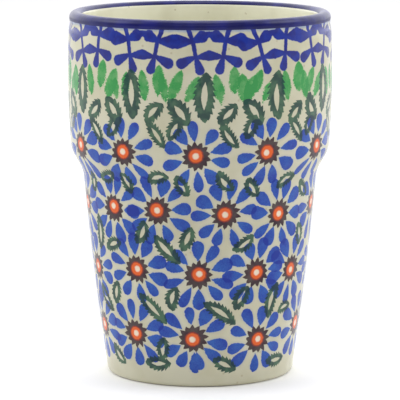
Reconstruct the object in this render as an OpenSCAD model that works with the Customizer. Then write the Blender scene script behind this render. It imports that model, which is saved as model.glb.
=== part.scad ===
/* [Outside shape] */
// Height from the table to the top of the lip
height = 127; // [100:1:160]
// Outside diameter at the lip
lip_d = 91.0; // [74:0.2:116]
// Outside diameter at the bottom of the collar, where the shoulder ends
collar_d = 90.4; // [74:0.2:116]
// How far the collar swells outwards halfway up, on each side
collar_swell = 0.7; // [0:0.1:2]
// Outside diameter at the waist, where the shoulder starts
waist_d = 81.6; // [66:0.2:100]
// Outside diameter that the tapering lower wall would have at the table
base_d = 65.1; // [50:0.1:80]
// How far the lower wall swells outwards halfway up, on each side
lower_swell = 0.45; // [0:0.05:2]
// Height of the waist above the table
waist_z = 70; // [50:1:84]
// Height of the shoulder, from the waist to the bottom of the collar
shoulder_h = 10.5; // [8:0.5:16]

/* [Lip] */
// Thickness of the wall, glaze included; the lip is rounded over it
wall = 4.4; // [3:0.1:7]
// Depth of the thrown groove under the lip
groove_depth = 0.35; // [0:0.05:0.6]
// Distance from the middle of the lip's rounding down to the groove
groove_drop = 2.1; // [1.6:0.1:4]
// Height of the groove
groove_w = 4.0; // [2:0.1:6]
// How far the cobalt band reaches down the outside, below the lip's rounding
band_drop = 0.9; // [0.5:0.1:3]
// Angle above level at which the cobalt band stops on the inner side of the rounding
band_stop = 24; // [10:1:50]

/* [Floor and foot] */
// Height of the drinking floor above the table
floor_z = 7.4; // [5.5:0.1:14]
// Radius of the bend between the floor and the inside wall
floor_bend = 10; // [4:0.5:16]
// Radius of the rounding at the outside of the foot
foot_round = 2.0; // [1.2:0.1:3]
// Angle below level at which the outside glaze stops on that rounding
glaze_stop = 48; // [30:1:55]
// Width of the flat ring that stands on the table
foot_flat = 3.4; // [2:0.1:6]
// Radius of the rounding at the inside of the foot
foot_inner_round = 0.8; // [0.4:0.1:1]
// Depth of the recess inside the foot, up to the clay
recess_depth = 2.0; // [1.6:0.1:3]

/* [Glaze] */
// Thickness of the fired glaze on the walls, the lip and the base
glaze = 0.4; // [0.2:0.05:0.8]

/* [Hidden] */
$fn = 192;

lip_r = lip_d / 2;
collar_r = collar_d / 2;
waist_r = waist_d / 2;
base_r = base_d / 2;

// Heights where one stretch of the wall hands over to the next
collar_z = waist_z + shoulder_h;
lip_round = wall / 2;
lip_z = height - lip_round;
groove_z = lip_z - groove_drop;

// How much the radius grows for each millimetre of height, at the two ends of the shoulder
waist_slope = (waist_r - base_r - 4 * lower_swell) / waist_z;
collar_slope = (lip_r - collar_r + 4 * collar_swell) / (lip_z - collar_z);

// Radius of the lower wall, the shoulder and the collar at a height
function lower_r(z) =
    let (s = z / waist_z)
    base_r + (waist_r - base_r) * s + 4 * lower_swell * s * (1 - s);
function shoulder_r(z) =
    let (s = (z - waist_z) / shoulder_h)
    waist_r * (1 - 3 * s * s + 2 * s * s * s)
    + collar_r * (3 * s * s - 2 * s * s * s)
    + shoulder_h * waist_slope * (s - 2 * s * s + s * s * s)
    + shoulder_h * collar_slope * (s * s * s - s * s);
function collar_wall_r(z) =
    let (s = (z - collar_z) / (lip_z - collar_z))
    collar_r + (lip_r - collar_r) * s + 4 * collar_swell * s * (1 - s);

// How deep the thrown groove is at a height
function groove(z) =
    abs(z - groove_z) < groove_w / 2 ? groove_depth * (1 + cos(360 * (z - groove_z) / groove_w)) / 2 : 0;

// Points round a bend, and heights from one level to another
function bend(centre, r, from, to, steps) =
    [for (i = [0:steps]) let (a = from + (to - from) * i / steps) centre + r * [cos(a), sin(a)]];
function levels(from, to, steps) = [for (i = [0:steps]) from + (to - from) * i / steps];
function lean(r_low, r_high, rise) = atan((r_high - r_low) / rise);

// The foot's rounding meets the lower wall where both lean the same way
foot_lean = lean(lower_r(0), lower_r(foot_round), foot_round);
foot_top_z = foot_round - (foot_round + glaze) * sin(foot_lean);
foot_centre = [lower_r(foot_top_z) - (foot_round + glaze) * cos(foot_lean), foot_round];

// The floor's bend meets the inside wall in the same way
bend_z = floor_z + floor_bend;
bend_lean = lean(lower_r(bend_z - 1), lower_r(bend_z), 1);
bend_top_z = bend_z - floor_bend * sin(bend_lean);
bend_centre = [lower_r(bend_top_z) - wall - floor_bend * cos(bend_lean), bend_z];

// Where the cobalt band starts on the outside, and where the groove starts below it
band_low_z = lip_z - band_drop;
groove_low_z = groove_z - groove_w / 2;

// The glazed surface, from the edge of the glaze at the foot, up the outside,
// over the lip and down the inside to the middle of the floor
outside_line = concat(
    bend(foot_centre, foot_round + glaze, -glaze_stop, -foot_lean, 6),
    [for (z = levels(foot_top_z + 3, waist_z, 12)) [lower_r(z), z]],
    [for (z = levels(waist_z + 1, collar_z, 11)) [shoulder_r(z), z]],
    [for (z = levels(collar_z + 3, groove_low_z, 8)) [collar_wall_r(z), z]],
    [for (z = levels(groove_low_z + 0.4, band_low_z, 6)) [collar_wall_r(z) - groove(z), z]]
);
lip_centre = [lip_r - lip_round, lip_z];
lip_line = concat(
    [for (z = levels(band_low_z + 0.25, lip_z - 0.1, 3)) [collar_wall_r(z) - groove(z), z]],
    bend(lip_centre, lip_round, 0, 180 - band_stop, 16)
);
inside_line = concat(
    bend(lip_centre, lip_round, 180 - band_stop * 0.7, 180, 3),
    [for (z = levels(lip_z - 2, collar_z, 12)) [collar_wall_r(z) - wall, z]],
    [for (z = levels(collar_z - 1, waist_z, 11)) [shoulder_r(z) - wall, z]],
    [for (z = levels(waist_z - 3, bend_top_z + 2, 10)) [lower_r(z) - wall, z]],
    bend(bend_centre, floor_bend, -bend_lean, -90, 12),
    [[0, floor_z]]
);
skin = concat(outside_line, lip_line, inside_line);
band_start = len(outside_line) - 1;
band_end = band_start + len(lip_line);
skin_end = len(skin) - 1;

// The clay under the glaze: each point of the skin moved one glaze thickness along its normal
function across(i) =
    let (a = skin[max(i - 1, 0)], b = skin[min(i + 1, skin_end)], d = (b - a) / norm(b - a))
    i == skin_end ? [0, 1] : i == 0 ? [cos(glaze_stop), -sin(glaze_stop)] : [d.y, -d.x];
clay = [for (i = [0:skin_end]) skin[i] - glaze * across(i)];

// Foot ring: outside rounding, flat, inside rounding and the recess
flat_in_r = foot_centre.x - foot_flat;
recess_r = flat_in_r - foot_inner_round;
foot_line = concat(
    [[0, recess_depth], [recess_r, recess_depth]],
    bend([flat_in_r, foot_inner_round], foot_inner_round, 180, 270, 6),
    bend(foot_centre, foot_round, -90, -glaze_stop - 4, 5)
);

// A coat of glaze between two points of the skin and the clay behind them
module coat(first, last) {
    rotate_extrude()
        polygon(concat(
            [for (i = [first:last]) skin[i]],
            [for (i = [last:-1:first]) clay[i]]
        ));
}

module stoneware_body() {
    color("tan")
    rotate_extrude()
        polygon(concat(foot_line, clay));
}

module outside_glaze() {
    color("lightsteelblue")
    coat(0, band_start);
}

module lip_band() {
    color("midnightblue")
    coat(band_start, band_end);
}

module inside_glaze() {
    color("cornsilk")
    coat(band_end, skin_end);
}

module base_glaze() {
    color("ivory")
    translate([0, 0, recess_depth - glaze])
        cylinder(h = glaze, r = recess_r);
}

stoneware_body();
outside_glaze();
lip_band();
inside_glaze();
base_glaze();
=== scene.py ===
import math
import random

import bpy
import numpy as np
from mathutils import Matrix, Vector


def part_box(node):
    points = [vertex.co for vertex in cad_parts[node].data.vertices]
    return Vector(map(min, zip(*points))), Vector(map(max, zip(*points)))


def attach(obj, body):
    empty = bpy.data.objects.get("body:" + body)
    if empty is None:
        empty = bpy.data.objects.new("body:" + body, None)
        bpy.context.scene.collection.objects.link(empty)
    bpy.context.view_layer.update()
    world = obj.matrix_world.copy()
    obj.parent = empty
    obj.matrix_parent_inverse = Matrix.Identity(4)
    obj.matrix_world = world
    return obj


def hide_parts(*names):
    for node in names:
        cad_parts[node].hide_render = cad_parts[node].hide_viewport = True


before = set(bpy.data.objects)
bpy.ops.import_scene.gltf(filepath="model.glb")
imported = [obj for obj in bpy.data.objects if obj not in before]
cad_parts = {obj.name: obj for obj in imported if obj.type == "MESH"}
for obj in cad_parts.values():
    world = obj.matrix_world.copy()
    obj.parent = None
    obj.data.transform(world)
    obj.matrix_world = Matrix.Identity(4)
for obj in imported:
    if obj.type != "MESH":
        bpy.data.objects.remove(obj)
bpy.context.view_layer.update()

# ------------------------------------------------------------------------------------------------
# The clay body. One piece of buff stoneware, pressed over a turning mould, with a rounded lip, a
# flat drinking floor and a foot ring turned under it. Only the foot ring stays bare of glaze.

MM = 0.001
GLAZE = 0.4 * MM
# Degrees by which the lower wall leans outwards
WALL_LEAN = 6
FLOOR_BEND = 10 * MM
FOOT_ROUND = 2 * MM
FOOT_FLAT = 3.4 * MM
FOOT_INNER_ROUND = 0.8 * MM
# A height where the wall is plain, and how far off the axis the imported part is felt
PLAIN_WALL_Z = 100 * MM
HAIR = 0.02 * MM
# Sides of every turned piece, and how far apart its rings are where the wall is hidden
SIDES = 256
HIDDEN_STEP = 4 * MM


def feel(start, way):
    """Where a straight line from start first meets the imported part."""
    tries = [node.ray_cast(start, way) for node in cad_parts.values()]
    places = [place for met, place, *_ in tries if met]
    return min(places, key=lambda place: (place - Vector(start)).length)


def felt_radius(z, from_inside):
    """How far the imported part's outer or inner surface is from the axis at a height."""
    place = feel((0, HAIR, z), (1, 0, 0)) if from_inside else feel((1, HAIR, z), (-1, 0, 0))
    return math.hypot(place.x, place.y)


WALL = felt_radius(PLAIN_WALL_Z, False) - felt_radius(PLAIN_WALL_Z, True)
LIP_ROUND = WALL / 2
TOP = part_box("lip_band")[1].z
LIP_Z = TOP - LIP_ROUND
FLOOR_Z = feel((HAIR, HAIR, PLAIN_WALL_Z), (0, 0, -1)).z
BEND_Z = FLOOR_Z + FLOOR_BEND
RECESS_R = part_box("base_glaze")[1].x
RECESS_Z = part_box("base_glaze")[1].z

# The outside of the wall, felt every tenth of a millimetre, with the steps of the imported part
# smoothed away. The inside of the wall keeps one distance from it.
SMOOTHED_OVER = 4
SPREAD = 3 * SMOOTHED_OVER
felt_z = np.arange(FOOT_ROUND, LIP_Z, 0.1 * MM)
felt_r = np.array([felt_radius(z, False) for z in felt_z])
weights = np.exp(-0.5 * (np.arange(-SPREAD, SPREAD + 1) / SMOOTHED_OVER) ** 2)
before = 2 * felt_r[0] - felt_r[SPREAD:0:-1]
after = 2 * felt_r[-1] - felt_r[-2:-SPREAD - 2:-1]
wall_line = np.convolve(np.concatenate([before, felt_r, after]), weights / weights.sum(), "valid")


def wall_r(z):
    """The radius of the outside of the wall at a height."""
    return float(np.interp(z, felt_z, wall_line))


# How far from the axis the roundings of the lip, the floor's bend and the foot have their middles
LIP_R = wall_r(LIP_Z) - LIP_ROUND
BEND_R = wall_r(BEND_Z) - WALL - FLOOR_BEND
FOOT_R = RECESS_R + FOOT_INNER_ROUND + FOOT_FLAT


def levels(low, high, step):
    """Heights from low to high, both included, about a step apart."""
    return [float(z) for z in np.linspace(low, high, max(2, round(abs(high - low) / step) + 1))]


def wall(depth, low, high, step):
    """Points (distance from the axis, height) up or down the wall, at a depth behind its outside."""
    return [(wall_r(z) - depth, z) for z in levels(low, high, step)]


def arc(centre_r, centre_z, radius, start, end, steps):
    """Points (distance from the axis, height) round a bend, with angles in degrees above level."""
    turns = [math.radians(start + (end - start) * i / steps) for i in range(steps + 1)]
    return [(centre_r + radius * math.cos(a), centre_z + radius * math.sin(a)) for a in turns]


def turned(name, line, comes_back):
    """A turned piece: a ring at the first point of the line, drawn out ring by ring through the rest.
    The line of a hoop comes back to its first ring. Any other line begins with a disc and ends at
    the axis."""
    bpy.ops.object.select_all(action="DESELECT")
    r, z = line[0]
    fill = "NOTHING" if comes_back else "TRIFAN"
    bpy.ops.mesh.primitive_circle_add(vertices=SIDES, radius=r, fill_type=fill, location=(0, 0, z))
    piece = bpy.context.object
    piece.name = piece.data.name = name
    bpy.ops.object.transform_apply(location=True)
    bpy.ops.object.mode_set(mode="EDIT")
    bpy.ops.mesh.select_mode(type="EDGE")
    bpy.ops.mesh.select_all(action="SELECT")
    if not comes_back:
        bpy.ops.mesh.region_to_loop()
    for next_r, next_z in line[1:]:
        bpy.ops.mesh.extrude_edges_move(TRANSFORM_OT_translate={"value": (0, 0, next_z - z)})
        if next_r > 0:
            bpy.ops.transform.resize(value=(next_r / r, next_r / r, 1), center_override=(0, 0, next_z))
        else:
            bpy.ops.mesh.merge(type="CENTER")
        r, z = next_r, next_z
    if comes_back:
        bpy.ops.mesh.select_all(action="DESELECT")
        bpy.ops.mesh.select_non_manifold()
        bpy.ops.mesh.bridge_edge_loops()
    bpy.ops.mesh.select_all(action="SELECT")
    bpy.ops.mesh.normals_make_consistent(inside=False)
    bpy.ops.object.mode_set(mode="OBJECT")
    bpy.ops.object.shade_smooth_by_angle(angle=math.radians(35))
    return piece


under_foot = arc(FOOT_R - FOOT_FLAT, FOOT_INNER_ROUND, FOOT_INNER_ROUND, 180, 270, 6)
foot_edge = arc(FOOT_R, FOOT_ROUND, FOOT_ROUND, -90, -WALL_LEAN, 14)
clay_outside = wall(GLAZE, 2 * FOOT_ROUND, LIP_Z, HIDDEN_STEP)
clay_lip = arc(LIP_R, LIP_Z, LIP_ROUND - GLAZE, 0, 180, 15)
clay_inside = wall(WALL - GLAZE, LIP_Z, BEND_Z, HIDDEN_STEP)
clay_bend = arc(BEND_R, BEND_Z, FLOOR_BEND + GLAZE, -WALL_LEAN, -90, 12)
clay_body = turned(
    "clay_body",
    [(RECESS_R, RECESS_Z)] + under_foot + foot_edge + clay_outside + clay_lip[1:] + clay_inside[1:]
    + clay_bend + [(0, FLOOR_Z - GLAZE)],
    comes_back=False)


class Wire:
    """A number in a material's node tree. The usual signs join it to others with Math nodes."""

    def __init__(self, tree, socket):
        self.tree, self.socket = tree, socket

    def math(self, operation, *others, clamp=False):
        node = self.tree.nodes.new("ShaderNodeMath")
        node.operation, node.use_clamp = operation, clamp
        for socket, value in zip(node.inputs, (self, *others)):
            if isinstance(value, Wire):
                self.tree.links.new(value.socket, socket)
            else:
                socket.default_value = value
        return Wire(self.tree, node.outputs[0])

    def __add__(self, other):
        return self.math("ADD", other)

    def __sub__(self, other):
        return self.math("SUBTRACT", other)

    def __mul__(self, other):
        return self.math("MULTIPLY", other)

    def __truediv__(self, other):
        return self.math("DIVIDE", other)

    def __rsub__(self, other):
        return self.math("MULTIPLY_ADD", -1.0, other)

    def steps(self, low, high):
        """0 up to low, 1 from high on, and a soft step between them. High may be under low."""
        node = self.tree.nodes.new("ShaderNodeMapRange")
        node.interpolation_type = "SMOOTHSTEP"
        self.tree.links.new(self.socket, node.inputs["Value"])
        node.inputs["From Min"].default_value = low
        node.inputs["From Max"].default_value = high
        return Wire(self.tree, node.outputs["Result"])


def tint(red, green, blue):
    """A colour given as on a screen, from 0 to 255, as the light that it is."""
    return tuple((c / 255) ** 2.2 for c in (red, green, blue)) + (1,)


class Finish:
    """A material under way: its tree, its shader, and the nodes that a finish is mixed from."""

    def __init__(self, name):
        self.material = bpy.data.materials.new(name)
        self.material.use_nodes = True
        self.tree = self.material.node_tree
        self.shader = self.tree.nodes["Principled BSDF"]
        self.place = self.tree.nodes.new("ShaderNodeTexCoord").outputs["Object"]

    def noise(self, size, detail=2.0, stretch=None):
        """Uneven patches of about this size, as a number round 0.5."""
        source = self.place
        if stretch:
            mapping = self.tree.nodes.new("ShaderNodeMapping")
            mapping.inputs["Scale"].default_value = stretch
            self.tree.links.new(source, mapping.inputs["Vector"])
            source = mapping.outputs["Vector"]
        node = self.tree.nodes.new("ShaderNodeTexNoise")
        node.inputs["Scale"].default_value = 1 / size
        node.inputs["Detail"].default_value = detail
        self.tree.links.new(source, node.inputs["Vector"])
        return Wire(self.tree, node.outputs["Fac"])

    def specks(self, size, share):
        """Round specks, at most one to a cell of this size, in about this share of the cells."""
        node = self.tree.nodes.new("ShaderNodeTexVoronoi")
        node.inputs["Scale"].default_value = 1 / size
        self.tree.links.new(self.place, node.inputs["Vector"])
        split = self.tree.nodes.new("ShaderNodeSeparateColor")
        self.tree.links.new(node.outputs["Color"], split.inputs[0])
        chosen = Wire(self.tree, split.outputs[0]).math("LESS_THAN", share)
        return Wire(self.tree, node.outputs["Distance"]).steps(0.34, 0.16) * chosen

    def vector_math(self, operation, *inputs):
        """A Vector Math node, with sockets or vectors on its inputs."""
        node = self.tree.nodes.new("ShaderNodeVectorMath")
        node.operation = operation
        for socket, value in zip(node.inputs, inputs):
            if isinstance(value, bpy.types.NodeSocket):
                self.tree.links.new(value, socket)
            else:
                socket.default_value = value
        return node

    def mix(self, low, high, share):
        """From one colour to another by a share from 0 to 1."""
        node = self.tree.nodes.new("ShaderNodeMix")
        node.data_type = "RGBA"
        self.tree.links.new(share.socket, node.inputs[0])
        for socket, colour in ((node.inputs[6], low), (node.inputs[7], high)):
            if isinstance(colour, tuple):
                socket.default_value = colour
            else:
                self.tree.links.new(colour, socket)
        return node.outputs[2]

    def put_on(self, piece, colour, roughness, relief, depth):
        """Joins colour, roughness and relief to the shader, and gives the material to the piece."""
        self.tree.links.new(colour, self.shader.inputs["Base Color"])
        self.tree.links.new(roughness.socket, self.shader.inputs["Roughness"])
        bump = self.tree.nodes.new("ShaderNodeBump")
        bump.inputs["Distance"].default_value = depth
        self.tree.links.new(relief.socket, bump.inputs["Height"])
        self.tree.links.new(bump.outputs["Normal"], self.shader.inputs["Normal"])
        piece.data.materials.append(self.material)


def assemble(piece, node):
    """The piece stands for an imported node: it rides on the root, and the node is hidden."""
    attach(piece, "root")
    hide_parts(node)


clay = Finish("bare_stoneware")
clay.shader.inputs["Specular IOR Level"].default_value = 0.3
patches = clay.noise(9 * MM, 3)
grit = clay.noise(0.35 * MM, 4)
iron = clay.specks(0.9 * MM, 0.12)
clay_colour = clay.mix(tint(188, 165, 132), tint(214, 195, 163), patches.steps(0.35, 0.65))
clay_colour = clay.mix(clay_colour, tint(150, 122, 92), grit.steps(0.52, 0.75) * 0.6)
clay_colour = clay.mix(clay_colour, tint(92, 64, 46), iron * 0.8)
clay.put_on(clay_body, clay_colour, grit * 0.2 + 0.72, grit + iron * 0.3, 0.08 * MM)
assemble(clay_body, "stoneware_body")

# ------------------------------------------------------------------------------------------------
# The inside glaze. A cream glaze poured in and swilled round, so that it lies evenly over the wall,
# the bend and the floor, glassy, with fine iron specks and the faint rings of the turned clay.

# The angle above level where the lip band takes over, on the inner side of the lip's rounding
BAND_STOP = 24
inside_edge = arc(LIP_R, LIP_Z, LIP_ROUND, 180 - BAND_STOP, 180, 6)
inside_wall = wall(WALL, LIP_Z, BEND_Z, 2 * MM)
inside_bend = arc(BEND_R, BEND_Z, FLOOR_BEND, 2 - WALL_LEAN, -90, 22)
under_edge = arc(LIP_R, LIP_Z, LIP_ROUND - GLAZE, 180, 180 - BAND_STOP, 4)
inside_glaze = turned(
    "inside_glaze",
    clay_bend[::-1] + clay_inside[::-1] + under_edge[1:] + inside_edge + inside_wall[1:]
    + inside_bend + [(0, FLOOR_Z)],
    comes_back=False)
SPECK = tint(150, 128, 92)


def cream_finish(name, cream, cloud):
    """The cream glaze: clear glass over pale slip, a little uneven, with a few iron specks."""
    finish = Finish(name)
    finish.shader.inputs["Specular IOR Level"].default_value = 0.4
    clouds = finish.noise(14 * MM, 3)
    fine = finish.noise(1.2 * MM, 2)
    specks = finish.specks(1.5 * MM, 0.05)
    colour = finish.mix(cream, cloud, clouds.steps(0.4, 0.7))
    colour = finish.mix(colour, SPECK, specks * 0.35)
    return finish, colour, clouds, fine


# The inside's cream is painted much lighter than the same glaze outside. This is painted light: it stands
# in for the brighter light inside the mug.
lining, lining_colour_painted_light, clouds, fine = cream_finish("cream_glaze", tint(239, 238, 219), tint(227, 225, 204))
rings = lining.noise(3 * MM, 1, stretch=(0.02, 0.02, 1))
lining.put_on(inside_glaze, lining_colour_painted_light, fine * 0.08 + 0.07, rings * 0.6 + clouds * 0.25, 0.12 * MM)
assemble(inside_glaze, "inside_glaze")

# ------------------------------------------------------------------------------------------------
# The base glaze. The same cream glaze in the recess under the mug, wiped off the foot ring, so it
# ends in a small fillet against the ring's inner side, with a few pinholes.

FILLET_WIDE = 0.7 * MM
FILLET_HIGH = 0.35 * MM
BASE_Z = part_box("base_glaze")[0].z
fillet = [(RECESS_R - FILLET_WIDE * (1 - math.cos(a)), BASE_Z - FILLET_HIGH * (1 - math.sin(a)))
          for a in np.radians(np.linspace(0, 90, 7))]
underside = [(RECESS_R * share, BASE_Z) for share in (0.9, 0.7, 0.45, 0.2, 0)]
base_glaze = turned("base_glaze", [(RECESS_R, RECESS_Z)] + fillet + underside, comes_back=False)
base, base_colour, clouds, fine = cream_finish("base_glaze", tint(218, 214, 192), tint(210, 206, 182))
pinholes = base.specks(1.4 * MM, 0.05)
base_colour = base.mix(base_colour, tint(120, 98, 72), pinholes * 0.6)
base.put_on(base_glaze, base_colour, fine * 0.1 + 0.12, clouds - pinholes * 0.5, 0.15 * MM)
assemble(base_glaze, "base_glaze")

# ------------------------------------------------------------------------------------------------
# The outside glaze. Cream slip, stamped by hand with cut sponges in cobalt, green and red-brown,
# under a clear glaze. It ends in a rounded edge on the foot's rounding and at the lip band.

BAND_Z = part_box("lip_band")[0].z
SKIN_STEP = 1.25 * MM
# The angle below level where the coat stops, on the foot's outside rounding
GLAZE_STOP = 48
# The coat's rounded edge: the share of its thickness, and the degrees that it bulges past its stop
ROUNDED_EDGE = ((0, 0), (0.2, 2.5), (0.5, 4), (0.8, 2.5))
glaze_edge = [arc(FOOT_R, FOOT_ROUND, FOOT_ROUND + share * GLAZE, -GLAZE_STOP - bulge, 0, 1)[0]
              for share, bulge in ROUNDED_EDGE]
foot_skin = arc(FOOT_R, FOOT_ROUND, FOOT_ROUND + GLAZE, -GLAZE_STOP, -2 - WALL_LEAN, 8)
wall_skin = wall(0, FOOT_ROUND + GLAZE / 2, BAND_Z, SKIN_STEP)
wall_back = wall(GLAZE, BAND_Z, FOOT_ROUND + GLAZE, 6 * MM)
foot_back = arc(FOOT_R, FOOT_ROUND, FOOT_ROUND, -WALL_LEAN, WALL_LEAN - GLAZE_STOP, 4)
outside_glaze = turned("outside_glaze", glaze_edge + foot_skin + wall_skin + wall_back + foot_back,
                       comes_back=True)

# The places of the stamps: degrees round from the front, to the right, and height in millimetres.
# The front ones are given one by one, and each row is then carried round the back at an even pace.
# A row says how many there are all round, and (degrees, z, turn) of those in front.
FLOWER_ROWS = (
    (11, ((-64.5, 82, 0), (-35, 82, 5), (-1.5, 81.5, 3), (30.5, 82.5, -9), (61.5, 82, -7))),
    (12, ((-78, 61, 10), (-47.5, 61.5, 15), (-21, 62, 21), (12.5, 61, 23), (42.5, 60, 16),
          (75, 61, 20))),
    (11, ((-70.5, 39, -5), (-35, 41, 3), (-1, 40, 4), (30.5, 40, 23), (56.5, 39.5, -8))),
    (10, ((-72.5, 18, 0), (-39, 18, 5), (-4, 17.5, 9), (34.5, 16, -6), (72, 18.5, -6))),
)
GARLANDS = (12, ((-54.5, 115.5, 5), (-25, 115, -1), (4, 115, 1), (33, 115, 6), (61.5, 115.5, 0)))
TALL_LEAVES = (11, ((-60.5, 102, 90), (-30, 102, 92), (2, 101.5, 88), (34.5, 101.5, 91), (66, 102, 90)))
# Half length and half width of a tall leaf
TALL_LEAF = (8.6, 3.2)
# The four leaves after each tall one: degrees on from it, z, tilt, half length and half width
LEANING_LEAVES = ((10, 95.8, 45, 4.7, 2.5), (10.6, 89, -55, 5.6, 2), (21.4, 96.2, -57, 5.6, 3),
                  (19.8, 91.2, 64, 4.6, 2.3))
# Small leaves in front: degrees, z, tilt, half length and half width
SMALL_LEAVES = (
    (-63.5, 69.5, 88, 3.8, 2.2), (-49.5, 72.5, 17, 4.6, 2.1), (-37, 71, -65, 4.1, 2.2),
    (-20, 73.5, 15, 4.3, 2.2), (-8.5, 71, -62, 4.3, 2.2), (11.5, 72.5, -50, 4.8, 2.2),
    (25.5, 70, -55, 4.3, 2.3), (45, 71.5, 25, 4.6, 2.2), (60.5, 67.5, -45, 4.3, 2.2),
    (-62, 52, 87, 6.6, 2.3), (-50.5, 48.5, 20, 4.6, 2.2), (-30.5, 54, 65, 4.7, 2.4),
    (-17, 48.5, -47, 6.7, 2.4), (-6.5, 52.5, 68, 4.7, 2.3), (22.5, 50.5, 33, 4.7, 2.2),
    (61, 51.5, -78, 4.3, 2.3),
    (-62.5, 28.5, -50, 6, 2.2), (-51.5, 31.5, 75, 4.5, 2.3), (-26.5, 27.5, -45, 7.3, 2.3),
    (-14.5, 31.5, 78, 4.5, 2.3), (11, 26.5, -35, 7.2, 2.3), (22.5, 31.5, 60, 4.8, 2.5),
    (42.5, 29.5, 75, 6.6, 2.4), (53.5, 26, 15, 3.7, 1.9),
    (-56, 9, -45, 4.7, 2.2), (-25.5, 8, 2, 5, 2.4), (-21.5, 13.5, 85, 4.2, 2.2),
    (14.5, 8, -28, 4.8, 2.3), (50.5, 7.5, 0, 5, 2.2),
)
# Small leaves behind: the height of each row and how many it has, and what their sizes are drawn from
BACK_FROM, BACK_TO = 84, 276
BACK_LEAF_ROWS = ((71, 10), (50.5, 10), (29, 10), (8, 5))
BACK_TILTS = (20, -50, 65, 85, -65, 35)
BACK_HALF_LENGTHS = (4.3, 4.6, 4.8, 6.4)
BACK_HALF_WIDTH = 2.3
# Brush dabs in front, as the small leaves
DABS = (
    (-76.5, 108, 90, 4.5, 1.5), (-71, 104, 70, 4, 1.3), (-67.5, 105.5, 92, 5.2, 2.1),
    (-54, 106.5, 98, 5.2, 1.5), (-46, 109, 80, 4.8, 1.8), (-40, 106, 68, 5.6, 1.9),
    (-38, 104, 95, 3.8, 1.2), (-33, 105.5, 83, 4.8, 1.3), (-24.5, 106, 97, 5.2, 1.5),
    (-17.5, 108, 88, 5, 1.7), (-15.5, 105.5, 100, 4.8, 1.3), (-10, 106, 67, 5.9, 1.6),
    (-2.5, 105, 63, 4.7, 1.6), (7.5, 105, 102, 5.2, 1.5), (14.5, 108, 90, 4.6, 1.6),
    (18.5, 105, 98, 5.2, 1.8), (22, 105, 68, 4.8, 1.7), (25, 107, 68, 4.4, 1.5),
    (29.5, 103.5, 70, 3.2, 1.2), (39, 105.5, 98, 5.2, 1.6), (46.5, 108, 92, 5, 2.2),
    (50.5, 105, 98, 4.9, 1.6), (54.5, 106, 62, 5.2, 1.7), (61, 104.5, 60, 4.7, 1.6),
    (70, 105, 100, 5, 1.7), (76, 106, 95, 4.5, 1.5),
)

chance = random.Random(7)


def carried_round(count, front, wobble):
    """A row's front places and the rest of its count, evenly round the back with a little wobble."""
    start, end = front[-1][0], front[0][0] + 360
    gaps = count - len(front) + 1
    middle_z = sum(place[1] for place in front) / len(front)
    row = list(front)
    for i in range(1, gaps):
        degrees = start + (end - start) * i / gaps + chance.uniform(-1, 1) * wobble
        z = middle_z + chance.uniform(-0.8, 0.8)
        row.append((degrees, z, chance.choice(front)[2]))
    return row


# The corners of the coat's faces, and the faces' middles, in millimetres, and which are its outside
skin = outside_glaze.data
corners = np.empty(len(skin.loops), int)
skin.loops.foreach_get("vertex_index", corners)
spots = np.empty(len(skin.vertices) * 3)
skin.vertices.foreach_get("co", spots)
spots = spots.reshape(-1, 3)[corners].reshape(-1, 4, 3) / MM
middles = spots.mean(axis=1)
half_way_in = np.array([wall_r(z * MM) - GLAZE / 2 for z in middles[:, 2]]) / MM
is_skin = np.hypot(middles[:, 0], middles[:, 1]) > half_way_in


def round_and_up(places, degrees, z):
    """How far places are from a spot on the wall, in millimetres to the right and up."""
    away = np.degrees(np.arctan2(places[..., 0], -places[..., 1])) - degrees
    across = np.radians((away + 180) % 360 - 180) * np.hypot(places[..., 0], places[..., 1])
    return across, places[..., 2] - z


def turned_by(across, up, tilt):
    """The same distances along a stamp and over to its side, when it is tilted by some degrees."""
    c, s = math.cos(math.radians(tilt)), math.sin(math.radians(tilt))
    return across * c + up * s, up * c - across * s


FAR_OFF = 99
LONGEST = 20


def stamp(name, stamps, square=2):
    """Writes on the corners of the faces under each stamp where they are on it, in millimetres, with
    the stamp's number and half width. Stamps that overlap go to different layers, and the number of
    layers is returned. Each stamp is (degrees, z, tilt, half length and half width of the faces that
    it takes, number, its own half width). A high square takes a box of faces, and 2 an oval."""
    layers = []
    for degrees, z, tilt, half_length, half_width, number, own_width in stamps:
        along, over = turned_by(*round_and_up(middles, degrees, z), tilt)
        under = (abs(along / half_length) ** square + abs(over / half_width) ** square < 1) & is_skin
        layer = next((one for one in layers if not one["taken"][under].any()), None)
        if layer is None:
            layer = {"taken": np.zeros(len(middles), bool), "values": np.zeros(spots.shape[:2] + (4,))}
            layer["values"][..., :2] = FAR_OFF
            layers.append(layer)
        layer["taken"] |= under
        along, over = turned_by(*round_and_up(spots[under], degrees, z), tilt)
        same = np.ones(along.shape)
        layer["values"][under] = np.stack([along, over, same * number, same * own_width], axis=-1)
    for i, layer in enumerate(layers):
        made = skin.attributes.new(f"{name}_{i}", "FLOAT_COLOR", "CORNER")
        made.data.foreach_set("color", layer["values"].astype(np.float32).ravel())
    return len(layers)


def long_stamps(places, end_room, side_room):
    """Leaves or dabs as stamps. The number also holds the half length, as a share of the longest."""
    return [(degrees, z, tilt, long + end_room, wide + side_room, i + long / LONGEST, wide)
            for i, (degrees, z, tilt, long, wide) in enumerate(places)]


# Half length and half width of the faces that a flower, a heart and a garland take
FLOWER_FACES, HEART_FACES, GARLAND_FACES = (14, 14), (7, 7), (13.8, 12)
flowers = [place for row in FLOWER_ROWS for place in carried_round(*row, 2)]
petal_stamps = [place + FLOWER_FACES + (i, 1) for i, place in enumerate(flowers)]
heart_stamps = [place + HEART_FACES + (i, 1) for i, place in enumerate(flowers)]
PETAL_LAYERS = stamp("petals", petal_stamps)
stamp("hearts", heart_stamps)

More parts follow.
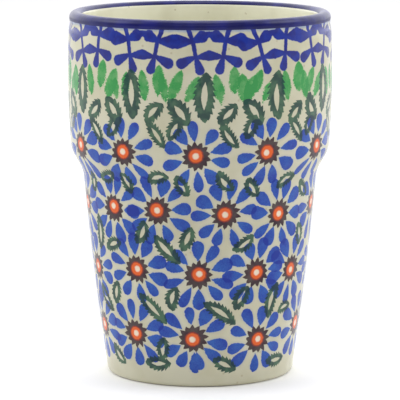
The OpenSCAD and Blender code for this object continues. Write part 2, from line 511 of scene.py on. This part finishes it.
leaves = []
for degrees, z, tilt in carried_round(*TALL_LEAVES, 1.5):
    leaves.append((degrees, z, tilt) + TALL_LEAF)
    leaves += [(degrees + on + chance.uniform(-0.7, 0.7), up + chance.uniform(-0.5, 0.5),
                lean + chance.uniform(-5, 5), half_length, half_width)
               for on, up, lean, half_length, half_width in LEANING_LEAVES]
leaves += SMALL_LEAVES
for row_z, count in BACK_LEAF_ROWS:
    for i in range(count):
        degrees = BACK_FROM + (BACK_TO - BACK_FROM) * (i + 0.5) / count + chance.uniform(-4, 4)
        z = row_z + chance.uniform(-1, 1)
        tilt = chance.choice(BACK_TILTS) if row_z > 10 else 0
        leaves.append((degrees, z, tilt, chance.choice(BACK_HALF_LENGTHS), BACK_HALF_WIDTH))
LEAF_LAYERS = stamp("leaves", long_stamps(leaves, 1.2, 1.6))

dabs = list(DABS)
while dabs[-1][0] < BACK_TO:
    dabs.append((dabs[-1][0] + chance.uniform(5.5, 9.5), 105.5 + chance.uniform(-1, 2.5),
                 chance.uniform(62, 102), chance.uniform(4.4, 5.6), chance.uniform(1.4, 2)))
DAB_LAYERS = stamp("dabs", long_stamps(dabs, 1.4, 1.4))

garlands = carried_round(*GARLANDS, 0.5)
garland_stamps = [place + GARLAND_FACES + (i, 1) for i, place in enumerate(garlands)]
GARLAND_LAYERS = stamp("garland", garland_stamps, square=8)

# The map for the glaze's textures: round the mug, and up it from the foot to the band, with the
# coat's hidden back in a strip above. Faces across the seam, at the back, go past its right end.
unroll = skin.uv_layers.new(name="OFBake")
turn_share = np.arctan2(spots[..., 0], -spots[..., 1]) / (2 * math.pi) + 0.5
past_seam = (turn_share < 0.25) & (turn_share.max(axis=1) > 0.75)[:, None]
turn_share = (turn_share + past_seam) / 1.01
up_share = np.clip(spots[..., 2] * MM / BAND_Z, 0, 1)
rise = np.where(is_skin[:, None], 0.02 + 0.93 * up_share, 0.96 + 0.04 * up_share)
unroll.data.foreach_set("uv", np.stack([turn_share, rise], axis=-1).astype(np.float32).ravel())

CREAM = tint(203, 200, 176)
CREAM_CLOUD = tint(194, 190, 162)
BLED_COBALT = tint(96, 128, 184)
BLEED_DEPTH = 1.3 * MM
slip = Finish("decorated_glaze")
slip.shader.inputs["Specular IOR Level"].default_value = 0.3
clouds = slip.noise(14 * MM, 3)
ragged = slip.noise(0.8 * MM, 2)
warp = ragged.socket.node.outputs["Color"]
patchy = slip.noise(3.2 * MM, 2)
fine = slip.noise(1.2 * MM, 2)
grain = slip.noise(0.4 * MM, 1)
colour = slip.mix(CREAM, CREAM_CLOUD, clouds.steps(0.4, 0.7))
colour = slip.mix(colour, SPECK, slip.specks(1.6 * MM, 0.03) * 0.35)
height = slip.tree.nodes.new("ShaderNodeSeparateXYZ")
slip.tree.links.new(slip.place, height.inputs[0])
bleed = Wire(slip.tree, height.outputs["Z"]) + (patchy - 0.5) * 1.4 * MM
colour = slip.mix(colour, BLED_COBALT, bleed.steps(BAND_Z - BLEED_DEPTH, BAND_Z) * 0.6)

# From here on, lengths in the finish are in millimetres, as they are on the stamps
RAGGED_BY = 0.22
FULL_TURN = 2 * math.pi


def stamp_place(finish, name):
    """Where a point is along and over the stamp there, its edges made uneven, the stamp's number
    and its half width."""
    read = finish.tree.nodes.new("ShaderNodeAttribute")
    read.attribute_name = name
    shaken = finish.vector_math(
        "MULTIPLY_ADD", warp, (2 * RAGGED_BY, 2 * RAGGED_BY, 0), read.outputs["Vector"])
    split = finish.tree.nodes.new("ShaderNodeSeparateXYZ")
    finish.tree.links.new(shaken.outputs[0], split.inputs[0])
    along, over, number = [Wire(finish.tree, socket) for socket in split.outputs]
    return along - RAGGED_BY, over - RAGGED_BY, number, Wire(finish.tree, read.outputs["Alpha"])


def dice(finish, seed):
    """Three random numbers from 0 to 1 for a whole number."""
    node = finish.tree.nodes.new("ShaderNodeTexWhiteNoise")
    node.noise_dimensions = "1D"
    finish.tree.links.new(seed.socket, node.inputs["W"])
    split = finish.tree.nodes.new("ShaderNodeSeparateColor")
    finish.tree.links.new(node.outputs["Color"], split.inputs[0])
    return [Wire(finish.tree, socket) for socket in split.outputs]


def laid_down(kind, finish, name, layers):
    """How much pigment all layers of one kind of stamp lay down together."""
    total = kind(finish, f"{name}_0")
    for i in range(1, layers):
        total = total + kind(finish, f"{name}_{i}")
    return total


PETALS = 10
PETAL_START = 4.8


def petals(finish, name):
    """A layer of flowers: ten drops round each heart, with their fat ends outwards."""
    along, over, number, _ = stamp_place(finish, name)
    reach = (along * along + over * over).math("SQRT")
    turn = along.math("ARCTAN2", over) * (PETALS / FULL_TURN)
    petal = turn.math("ROUND")
    a, b, c = dice(finish, number.math("ROUND") * 31.0 + petal)
    off = (turn - petal + (a - 0.5) * 0.26) * (FULL_TURN / PETALS)
    length = b * 1.7 + 6.4
    share = (reach * off.math("COSINE") - PETAL_START) / length
    width = share * (1 - share).math("MAXIMUM", 0.0).math("SQRT") * (c * 0.75 + 1.7) * 2.6
    past_tip = (share - 1).math("MAXIMUM", 0.0) * 30
    inside = width - (reach * off.math("SINE")).math("ABSOLUTE") + (ragged - 0.5) * 0.35 - past_tip
    return inside.steps(-0.12, 0.22) * (share * 0.5 + b * 0.2 + 0.45) + inside.steps(-1.2, 0) * 0.05


def leaf(finish, name):
    """A layer of hollow leaves with toothed edges, the teeth leaning to the tip."""
    along, over, number, wide = stamp_place(finish, name)
    seed = number.math("FLOOR")
    long = (number - seed) * LONGEST
    a, b, _ = dice(finish, seed)
    share = along / long
    curve = share * share
    side = over + (curve - 0.4) * (a - 0.5) * 2.2
    width = (1 - curve).math("MAXIMUM", 0.0).math("POWER", 0.62) * wide
    tooth = (along / wide * -1.6 + side.math("SIGN") * 0.2 + b * 5).math("FRACT")
    teeth = tooth * (wide * 0.16 + 0.5) * (1 - curve * curve).math("MAXIMUM", 0.0)
    outer = width - 0.25 + teeth - side.math("ABSOLUTE") + (ragged - 0.5) * 0.4
    hollow_share = share * 1.8 + (b - 0.5) * 0.5
    hollow = (1 - hollow_share * hollow_share) * (wide * 0.34) - side.math("ABSOLUTE")
    return outer.steps(-0.1, 0.2) * hollow.steps(0.15, -0.15) * (patchy * 0.5 + 0.7)


def dab(finish, name):
    """A layer of strokes of a flat brush, each full at the top and running dry at the bottom."""
    along, over, number, wide = stamp_place(finish, name)
    seed = number.math("FLOOR")
    share = along / ((number - seed) * LONGEST)
    lean = share + 0.25
    width = (1 - lean * lean * 0.62 - share * share * 0.3).math("MAXIMUM", 0.0)
    bristles = (patchy - 0.5) * (1 - share) * 1.2 + (ragged - 0.5) * 0.8
    bristles = bristles + (grain - 0.5) * (1.4 - share)
    inside = width.math("POWER", 0.7) * (wide * 1.35) - over.math("ABSOLUTE") + bristles * 0.7 - 0.08
    return inside.steps(-0.15, 0.3) * (patchy * 0.6 + 0.65)


def drop(finish, point, start, end, thin, fat):
    """How far inside a drop a point is. It has a thin round end at start and a fat one at end."""
    way = (end[0] - start[0], end[1] - start[1])
    square = way[0] ** 2 + way[1] ** 2
    dot = finish.vector_math("DOT_PRODUCT", point, (way[0] / square, way[1] / square, 0))
    share = Wire(finish.tree, dot.outputs["Value"]).math(
        "SUBTRACT", (start[0] * way[0] + start[1] * way[1]) / square, clamp=True)
    nearest = finish.vector_math("MULTIPLY_ADD", share.socket, way + (0,), start + (0,))
    far = finish.vector_math("DISTANCE", point, nearest.outputs[0])
    radius = share.math("POWER", 0.75).math("MULTIPLY_ADD", fat - thin, thin)
    return radius - Wire(finish.tree, far.outputs["Value"])


# One side of a garland's stamp, from its middle: (start, end, thin radius, fat radius)
GARLAND_DROPS = (
    ((7.4, 11), (5.4, 4.8), 0.85, 0.7), ((5.4, 4.8), (4.6, 0), 0.7, 0.65),
    ((4.6, 0), (3.3, -4.3), 0.4, 1.55), ((4.8, 0.2), (9.4, -2), 0.35, 1.8),
    ((4.4, 0), (0, 0.5), 0.35, 1.75), ((5.6, 5.2), (2.4, 6.8), 0.4, 2.0),
    ((2.4, 6.8), (0, 7.6), 1.7, 0.9), ((5.6, 5.2), (10.6, 5.3), 0.3, 2.4),
)


def garland(finish, name):
    """A layer of garlands: two stems hung from the band, each with a drop at its foot and leaves
    to both sides. The right half is the left one mirrored."""
    along, over, _, _ = stamp_place(finish, name)
    joined = finish.tree.nodes.new("ShaderNodeCombineXYZ")
    finish.tree.links.new(along.math("ABSOLUTE").socket, joined.inputs[0])
    finish.tree.links.new(over.socket, joined.inputs[1])
    inside = None
    for start, end, thin, fat in GARLAND_DROPS:
        one = drop(finish, joined.outputs[0], start, end, thin, fat)
        inside = one if inside is None else inside.math("MAXIMUM", one)
    return inside.steps(-0.24, 0.08)


# Thin and thick pigment of each stamp
COBALT = (tint(48, 108, 188), tint(10, 50, 154))
COBALT_ON_COBALT = tint(18, 46, 142)
GREEN = (tint(88, 188, 96), tint(28, 142, 66))
NAVY = (tint(4, 44, 146), tint(0, 26, 122))
LEAF_GREEN = (tint(62, 100, 76), tint(20, 62, 58))
LEAF_ON_COBALT = tint(12, 42, 66)

laid = laid_down(petals, slip, "petals", PETAL_LAYERS)
thick = patchy * 0.8 + laid * 0.6 + (grain - 0.5) * 0.7 - 0.25
colour = slip.mix(colour, slip.mix(*COBALT, thick), (laid * 1.9).math("MINIMUM", 0.98))
colour = slip.mix(colour, COBALT_ON_COBALT, laid.steps(1.0, 1.8) * 0.7)
brushed = laid_down(dab, slip, "dabs", DAB_LAYERS)
pigment = slip.mix(*GREEN, brushed * 0.8 + 0.12 + (grain - 0.5) * 0.6)
colour = slip.mix(colour, pigment, brushed.math("MINIMUM", 1.0).math("POWER", 0.7) * 0.95)
hung = laid_down(garland, slip, "garland", GARLAND_LAYERS)
pigment = slip.mix(*NAVY, patchy.steps(0.3, 0.7))
colour = slip.mix(colour, pigment, (hung * 0.97).math("MINIMUM", 0.98))
toothed = laid_down(leaf, slip, "leaves", LEAF_LAYERS)
pigment = slip.mix(*LEAF_GREEN, patchy.steps(0.3, 0.65))
colour = slip.mix(colour, pigment, (toothed * 1.4).math("MINIMUM", 0.96))
colour = slip.mix(colour, LEAF_ON_COBALT, (toothed * laid).math("MINIMUM", 1.0) * 0.7)

# The hearts: a brown-black star, and on it an orange ring with a red rim and a bare dot, each
# printed a little off the middle of the one before
STAR_TEETH = 13
STAR_R = 3.85
STAR = tint(58, 38, 48)
RED_RIM = tint(140, 54, 44)
ORANGE = tint(226, 98, 42)
BARE_DOT = tint(238, 216, 190)
along, over, number, _ = stamp_place(slip, "hearts_0")
reach = (along * along + over * over).math("SQRT")
seed = number.math("ROUND")
turn = along.math("ARCTAN2", over) * (STAR_TEETH / FULL_TURN) + seed * 0.37
tooth = turn.math("FRACT")
a, _, _ = dice(slip, (turn - tooth).math("ROUND") + seed * 47)
point_of = (tooth * 1.6).math("MINIMUM", (1 - tooth) * 2.7)
star = point_of * (a * 0.9 + 0.9) + STAR_R - reach + (ragged - 0.5) * 0.4
colour = slip.mix(colour, STAR, star.steps(-0.1, 0.2) * (patchy * 0.2 + 0.86))
a, b, c = dice(slip, seed * 5)
along, over = along + (a - 0.5) * 0.9, over + (b - 0.6) * 0.9
reach = (along * along + over * over).math("SQRT") + (ragged - 0.5) * 0.3
colour = slip.mix(colour, RED_RIM, reach.steps(2.85, 2.45))
colour = slip.mix(colour, ORANGE, reach.steps(2.5, 2.0))
along, over = along + (c - 0.5) * 0.5, over + (a - 0.5) * 0.5
reach = (along * along + over * over).math("SQRT")
colour = slip.mix(colour, BARE_DOT, reach.steps(1.35, 0.75))

slip.put_on(outside_glaze, colour, fine * 0.1 + 0.15, clouds + fine * 0.08, 0.12 * MM)
assemble(outside_glaze, "outside_glaze")

# ------------------------------------------------------------------------------------------------
# The lip band. The rim dipped in cobalt glaze: one even coat from the thrown groove under the lip,
# over its crown, to just inside the mouth, with a slightly drifting colour.

lip_outside = wall(0, BAND_Z, LIP_Z, 0.3 * MM)
lip_crown = arc(LIP_R, LIP_Z, LIP_ROUND, 0, 180 - BAND_STOP, 24)
lip_back = arc(LIP_R, LIP_Z, LIP_ROUND - GLAZE, 180 - BAND_STOP, 0, 12)
lip_foot = [(wall_r(BAND_Z) - GLAZE, BAND_Z)]
lip_band = turned("lip_band", lip_outside + lip_crown[1:] + lip_back + lip_foot, comes_back=True)
cobalt = Finish("cobalt_glaze")
cobalt.shader.inputs["Specular IOR Level"].default_value = 0.3
drift = cobalt.noise(7 * MM, 3)
fine = cobalt.noise(0.9 * MM, 2)
band_colour = cobalt.mix(tint(9, 12, 82), tint(22, 27, 106), drift.steps(0.4, 0.7))
cobalt.put_on(lip_band, band_colour, fine * 0.1 + 0.28, drift + fine * 0.2, 0.15 * MM)
assemble(lip_band, "lip_band")

# ------------------------------------------------------------------------------------------------
# The studio: a pale paper floor, walls that are bright behind the mug and dim behind the camera, a
# soft box on each side, one in front and one overhead, and a long lens a little above the lip.

PAPER = tint(250, 250, 251)
PAINTED_SHADE_ROUND_THE_MUG = tint(212, 212, 214)
bpy.ops.object.select_all(action="DESELECT")
bpy.ops.mesh.primitive_plane_add(size=8, location=(0, 0, 0))
floor = bpy.context.object
floor.name = "studio_floor"
paper = Finish("white_paper")
fibres = paper.noise(2 * MM, 2)
away = Wire(paper.tree, paper.vector_math("LENGTH", paper.place).outputs["Value"])
# Painted shade: the paper is darker in a ring from the mug's foot out to between 0.2 and 0.7 m, and bright
# again beyond it. The ring stands in for uneven light on the floor.
paper_with_painted_shade = paper.mix(PAPER, PAINTED_SHADE_ROUND_THE_MUG, away.steps(0.045, 0.12))
paper_with_painted_shade = paper.mix(paper_with_painted_shade, PAPER, away.steps(0.2, 0.7))
paper.put_on(floor, paper_with_painted_shade, fibres * 0.1 + 0.8, fibres, 0.01 * MM)

world = bpy.data.worlds.new("studio")
bpy.context.scene.world = world
world.use_nodes = True
around = world.node_tree
looked = around.nodes.new("ShaderNodeTexCoord")
split = around.nodes.new("ShaderNodeSeparateXYZ")
around.links.new(looked.outputs["Generated"], split.inputs[0])
walls = around.nodes.new("ShaderNodeMapRange")
around.links.new(split.outputs["Y"], walls.inputs["Value"])
walls.inputs["From Min"].default_value = -0.3
walls.inputs["From Max"].default_value = 0.7
walls.inputs["To Min"].default_value = 0.3
walls.inputs["To Max"].default_value = 2.0
seen = around.nodes.new("ShaderNodeLightPath").outputs["Is Camera Ray"]
strength = Wire(around, walls.outputs[0]).math("MAXIMUM", Wire(around, seen))
background = around.nodes["Background"]
background.inputs["Color"].default_value = (1, 1, 1, 1)
around.links.new(strength.socket, background.inputs["Strength"])


def soft_box(name, place, size, power):
    """A flat rectangular light at a place, facing the middle of the mug."""
    lamp = bpy.data.lights.new(name, "AREA")
    lamp.shape, (lamp.size, lamp.size_y) = "RECTANGLE", size
    lamp.energy = power
    holder = bpy.data.objects.new(name, lamp)
    holder.location = place
    holder.rotation_euler = (Vector((0, 0, TOP / 2)) - Vector(place)).to_track_quat("-Z", "Y").to_euler()
    bpy.context.scene.collection.objects.link(holder)


for side in (-1, 1):
    soft_box("side_box", (side * 0.75, 0, 0.7), (0.5, 0.5), 2.6)
soft_box("front_box", (0, -0.9, 0.8), (1.2, 0.5), 2.4)
soft_box("top_box", (0, 0, 1.1), (0.5, 0.5), 2.4)

LOOKING_DOWN = 8.57
lens = bpy.data.cameras.new("camera")
lens.sensor_width, lens.lens = 36, 248.5
camera = bpy.data.objects.new("camera", lens)
camera.location = (0, -0.96, 0.2048)
camera.rotation_euler = (math.radians(90 - LOOKING_DOWN), 0, 0)
lens.clip_start, lens.clip_end = 0.01, 50
bpy.context.scene.collection.objects.link(camera)
bpy.context.scene.camera = camera
bpy.context.scene.view_settings.view_transform = "Standard"
